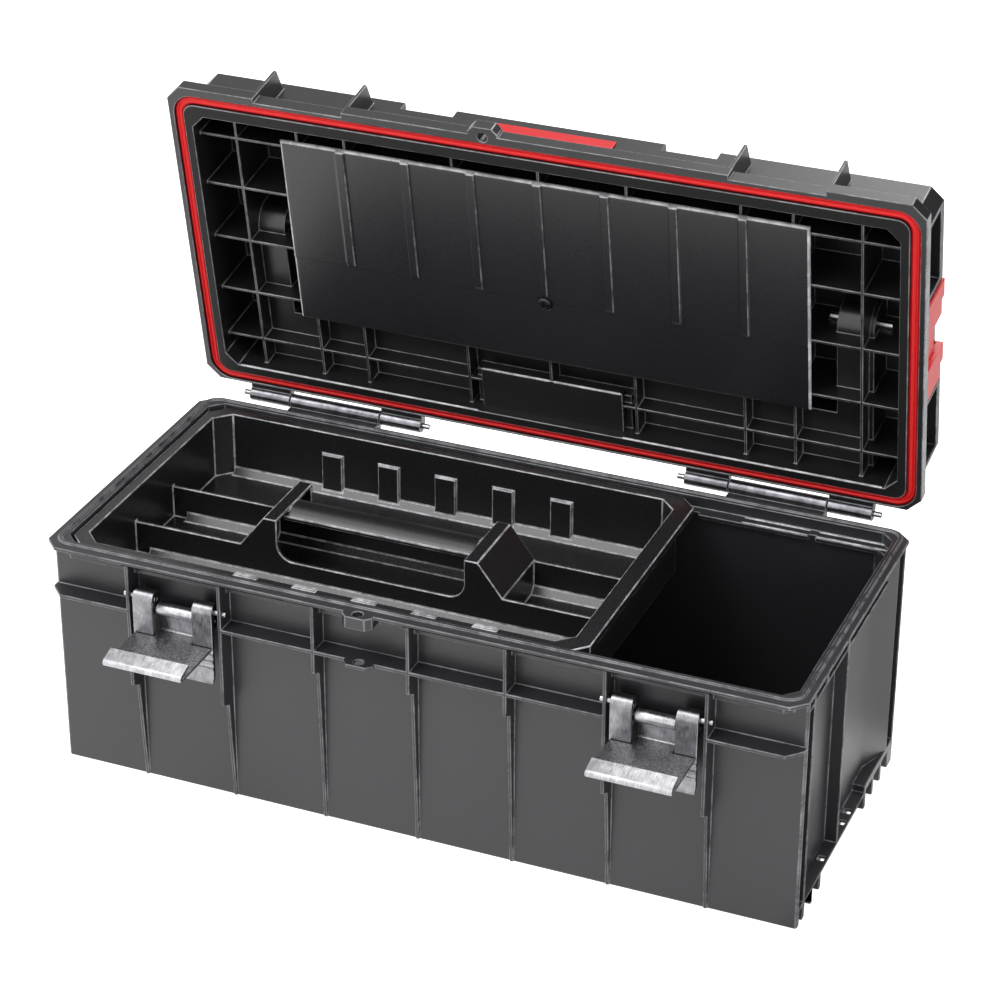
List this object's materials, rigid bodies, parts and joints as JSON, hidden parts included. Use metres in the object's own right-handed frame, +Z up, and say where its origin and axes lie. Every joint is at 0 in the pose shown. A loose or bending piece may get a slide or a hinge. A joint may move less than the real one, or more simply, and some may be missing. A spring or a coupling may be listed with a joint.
{
  "type": "tool case",
  "caption": "Long plastic tool case with a hinged sealed lid, draw latches, a lift-out tray with a centre grip, a folding carry handle and stacking clips.",
  "frame": {"origin": "centre of the case's flat bottom face, on the floor", "axes": "+X along the case to the right as seen from the latches, +Y from the latches to the hinges, +Z up"},
  "size_m": [0.5414, 0.3479, 0.4385],
  "materials": {
    "case_plastic": "fine-grained satin",
    "lid_plastic": "fine-grained satin",
    "panel_plastic": "satin",
    "tray_plastic": "satin",
    "handle_plastic": "satin",
    "grip_rubber": "matte",
    "seal_rubber": "satin",
    "red_plate": "gloss",
    "red_clip": "satin",
    "pin_steel": "bright zinc",
    "screw_steel": "dark",
    "lever_steel": "brushed",
    "hook_steel": "brushed lip, rough plate"
  },
  "bodies": {
    "case": {"base_tub": "case_plastic", "hinge_pin_left": "pin_steel", "hinge_pin_right": "pin_steel", "latch_pin_left": "pin_steel", "latch_pin_right": "pin_steel"},
    "lid": {"lid_shell": "lid_plastic", "lid_seal": "seal_rubber", "lid_panel": "panel_plastic", "panel_screw": "screw_steel", "front_plate": "red_plate", "handle_pin_left": "pin_steel", "handle_pin_right": "pin_steel", "clip_pin_left": "pin_steel", "clip_pin_right": "pin_steel"},
    "handle": {"carry_handle": "handle_plastic", "handle_grip": "grip_rubber"},
    "clip_left": {"side_clip_left": "red_clip"},
    "clip_right": {"side_clip_right": "red_clip"},
    "lever_left": {"latch_lever_left": "lever_steel", "latch_axle_left": "pin_steel"},
    "lever_right": {"latch_lever_right": "lever_steel", "latch_axle_right": "pin_steel"},
    "hook_left": {"latch_hook_left": "hook_steel"},
    "hook_right": {"latch_hook_right": "hook_steel"},
    "tray": {"tray": "tray_plastic"}
  },
  "joints": [
    {"name": "lid_hinge", "type": "hinge", "parent": "case", "child": "lid", "pos_m": [0, 0.134, 0.1786], "axis": [1, 0, 0], "range_deg": [0, 79.7]},
    {"name": "handle_swing", "type": "hinge", "parent": "lid", "child": "handle", "pos_m": [0, 0.14467, 0.31673], "axis": [1, 0, 0], "range_deg": [0, 95]},
    {"name": "tray_lift", "type": "slide", "parent": "case", "child": "tray", "axis": [0, 0, -1], "range_m": [-0.1, 0]},
    {"name": "lever_left_swing", "type": "hinge", "parent": "case", "child": "lever_left", "pos_m": [-0.17081, -0.1165, 0.1505], "axis": [1, 0, 0], "range_deg": [-100, 0]},
    {"name": "hook_left_swing", "type": "hinge", "parent": "lever_left", "child": "hook_left", "pos_m": [-0.17081, -0.1155, 0.1433], "axis": [-1, 0, 0], "range_deg": [0, 108]},
    {"name": "clip_left_swing", "type": "hinge", "parent": "lid", "child": "clip_left", "pos_m": [-0.2619, 0.15903, 0.31324], "axis": [0, 0.1788, -0.9839], "range_deg": [0, 110]},
    {"name": "lever_right_swing", "type": "hinge", "parent": "case", "child": "lever_right", "pos_m": [0.17081, -0.1165, 0.1505], "axis": [1, 0, 0], "range_deg": [-100, 0]},
    {"name": "hook_right_swing", "type": "hinge", "parent": "lever_right", "child": "hook_right", "pos_m": [0.17081, -0.1155, 0.1433], "axis": [-1, 0, 0], "range_deg": [0, 108]},
    {"name": "clip_right_swing", "type": "hinge", "parent": "lid", "child": "clip_right", "pos_m": [0.2619, 0.15903, 0.31324], "axis": [0, -0.1788, 0.9839], "range_deg": [0, 110]}
  ]
}
